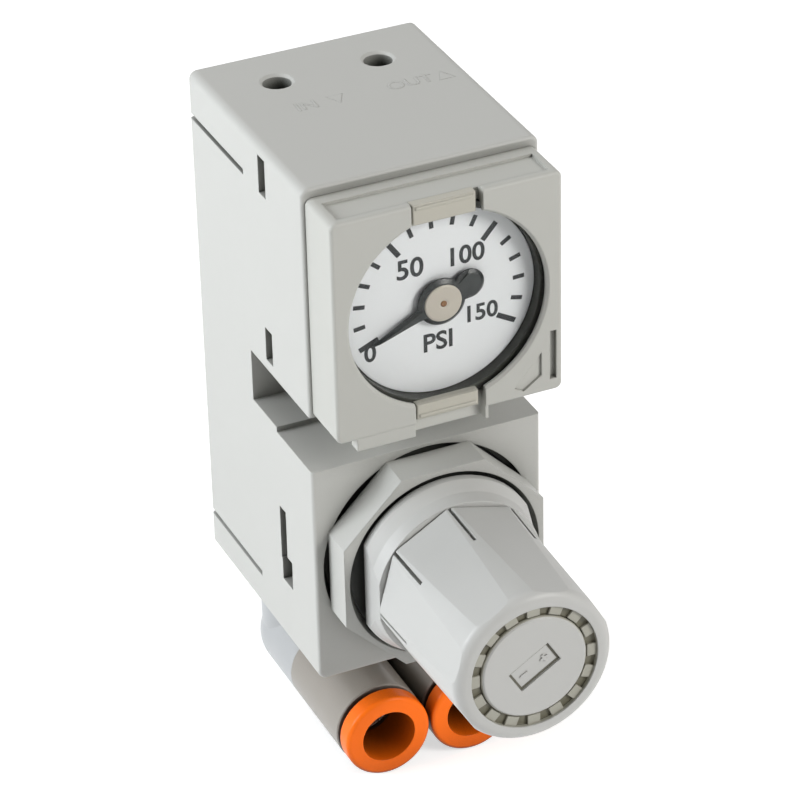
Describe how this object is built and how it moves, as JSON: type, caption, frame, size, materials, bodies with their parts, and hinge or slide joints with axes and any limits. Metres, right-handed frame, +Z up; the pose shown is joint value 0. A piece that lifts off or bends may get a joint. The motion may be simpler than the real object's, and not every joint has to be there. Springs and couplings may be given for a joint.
{
  "type": "manifold pressure regulator",
  "caption": "Slim resin air pressure regulator with a front knob, a square built-in dial gauge and two elbow tube fittings turned forward under the body.",
  "frame": {"origin": "centre of the body's flat rear face", "axes": "+Y out of the rear face, away from knob and dial; +Z up, from the fittings to the screw holes; +X to the right seen from the front"},
  "size_m": [0.028, 0.0586, 0.0795],
  "materials": {
    "housing_resin": "fine matt moulded resin, light warm grey",
    "knob_resin": "fine matt moulded resin, light grey",
    "dark_resin": "moulded, dark grey",
    "elbow_resin": "semi-gloss moulded resin, light grey",
    "sleeve_resin": "semi-gloss, brownish grey",
    "orange_resin": "glossy orange",
    "dial_white": "white print ground with black scale",
    "needle_black": "black lacquer",
    "hub_cap": "ivory moulded cap",
    "clear_lens": "clear moulded, polished",
    "brass": "turned",
    "steel": "plain",
    "aluminium": "turned",
    "seal_rubber": "matt black"
  },
  "bodies": {
    "housing": {"body": "housing_resin", "bonnet": "dark_resin", "panel_nut": "housing_resin", "diaphragm": "seal_rubber", "adjusting_spring": "steel", "valve_spring": "steel", "valve_cap": "brass", "valve_cap_ring": "seal_rubber", "gauge_cover": "housing_resin", "gauge_lens": "clear_lens", "gauge_case": "dark_resin", "gauge_dial": "dial_white", "gauge_socket": "brass", "gauge_o_ring": "seal_rubber", "bourdon_tube": "brass", "movement_frame": "brass", "fitting_clip": "steel", "elbow_in": "elbow_resin", "elbow_out": "elbow_resin", "sleeve_in": "sleeve_resin", "sleeve_out": "sleeve_resin", "collet_in": "steel", "collet_out": "steel", "tube_seal_in": "seal_rubber", "tube_seal_out": "seal_rubber", "spigot_o_ring_in": "seal_rubber", "spigot_o_ring_out": "seal_rubber"},
    "adjuster": {"adjusting_screw": "steel", "retaining_ring": "steel"},
    "knob": {"knob": "knob_resin", "knob_cap": "knob_resin"},
    "spring_seat": {"spring_seat": "brass"},
    "plate": {"diaphragm_plate": "aluminium"},
    "valve": {"valve": "brass"},
    "needle": {"needle": "needle_black", "needle_hub": "hub_cap", "pinion_shaft": "brass"},
    "sector": {"sector_gear": "brass"},
    "button_in": {"release_button_in": "orange_resin"},
    "button_out": {"release_button_out": "orange_resin"}
  },
  "joints": [
    {"name": "knob_turn", "type": "hinge", "parent": "housing", "child": "adjuster", "pos_m": [0, -0.0316, -0.0171], "axis": [0, 1, 0], "range_deg": [0, 1080]},
    {"name": "knob_pull", "type": "slide", "parent": "adjuster", "child": "knob", "axis": [0, -1, 0], "range_m": [0, 0.002]},
    {"name": "spring_seat_travel", "type": "slide", "parent": "housing", "child": "spring_seat", "axis": [0, 1, 0], "range_m": [0, 0.003], "deforming": ["adjusting_spring"]},
    {"name": "plate_travel", "type": "slide", "parent": "housing", "child": "plate", "axis": [0, 1, 0], "range_m": [0, 0.001], "deforming": ["diaphragm", "adjusting_spring"]},
    {"name": "valve_travel", "type": "slide", "parent": "housing", "child": "valve", "axis": [0, 1, 0], "range_m": [0, 0.001], "stiffness_N_per_m": 600, "springref_m": -0.0002, "deforming": ["valve_spring"]},
    {"name": "needle_swing", "type": "hinge", "parent": "housing", "child": "needle", "pos_m": [0, -0.0316, 0.0169], "axis": [0, 1, 0], "range_deg": [0, 232], "stiffness_Nm_per_rad": 0.0002, "springref_deg": -2.86},
    {"name": "sector_swing", "type": "hinge", "parent": "housing", "child": "sector", "pos_m": [0.00591, -0.0316, 0.01228], "axis": [0, 1, 0], "range_deg": [-58, 0]},
    {"name": "release_in", "type": "slide", "parent": "housing", "child": "button_in", "axis": [0, 1, 0], "range_m": [0, 0.0007], "stiffness_N_per_m": 400, "springref_m": -0.0002},
    {"name": "release_out", "type": "slide", "parent": "housing", "child": "button_out", "axis": [0, 1, 0], "range_m": [0, 0.0007], "stiffness_N_per_m": 400, "springref_m": -0.0002}
  ],
  "couplings": [
    {"joint": "spring_seat_travel", "follows": "knob_turn", "m_per_rad": 0.00015915},
    {"joint": "plate_travel", "follows": "valve_travel", "ratio": 1},
    {"joint": "sector_swing", "follows": "needle_swing", "ratio": -0.25}
  ]
}
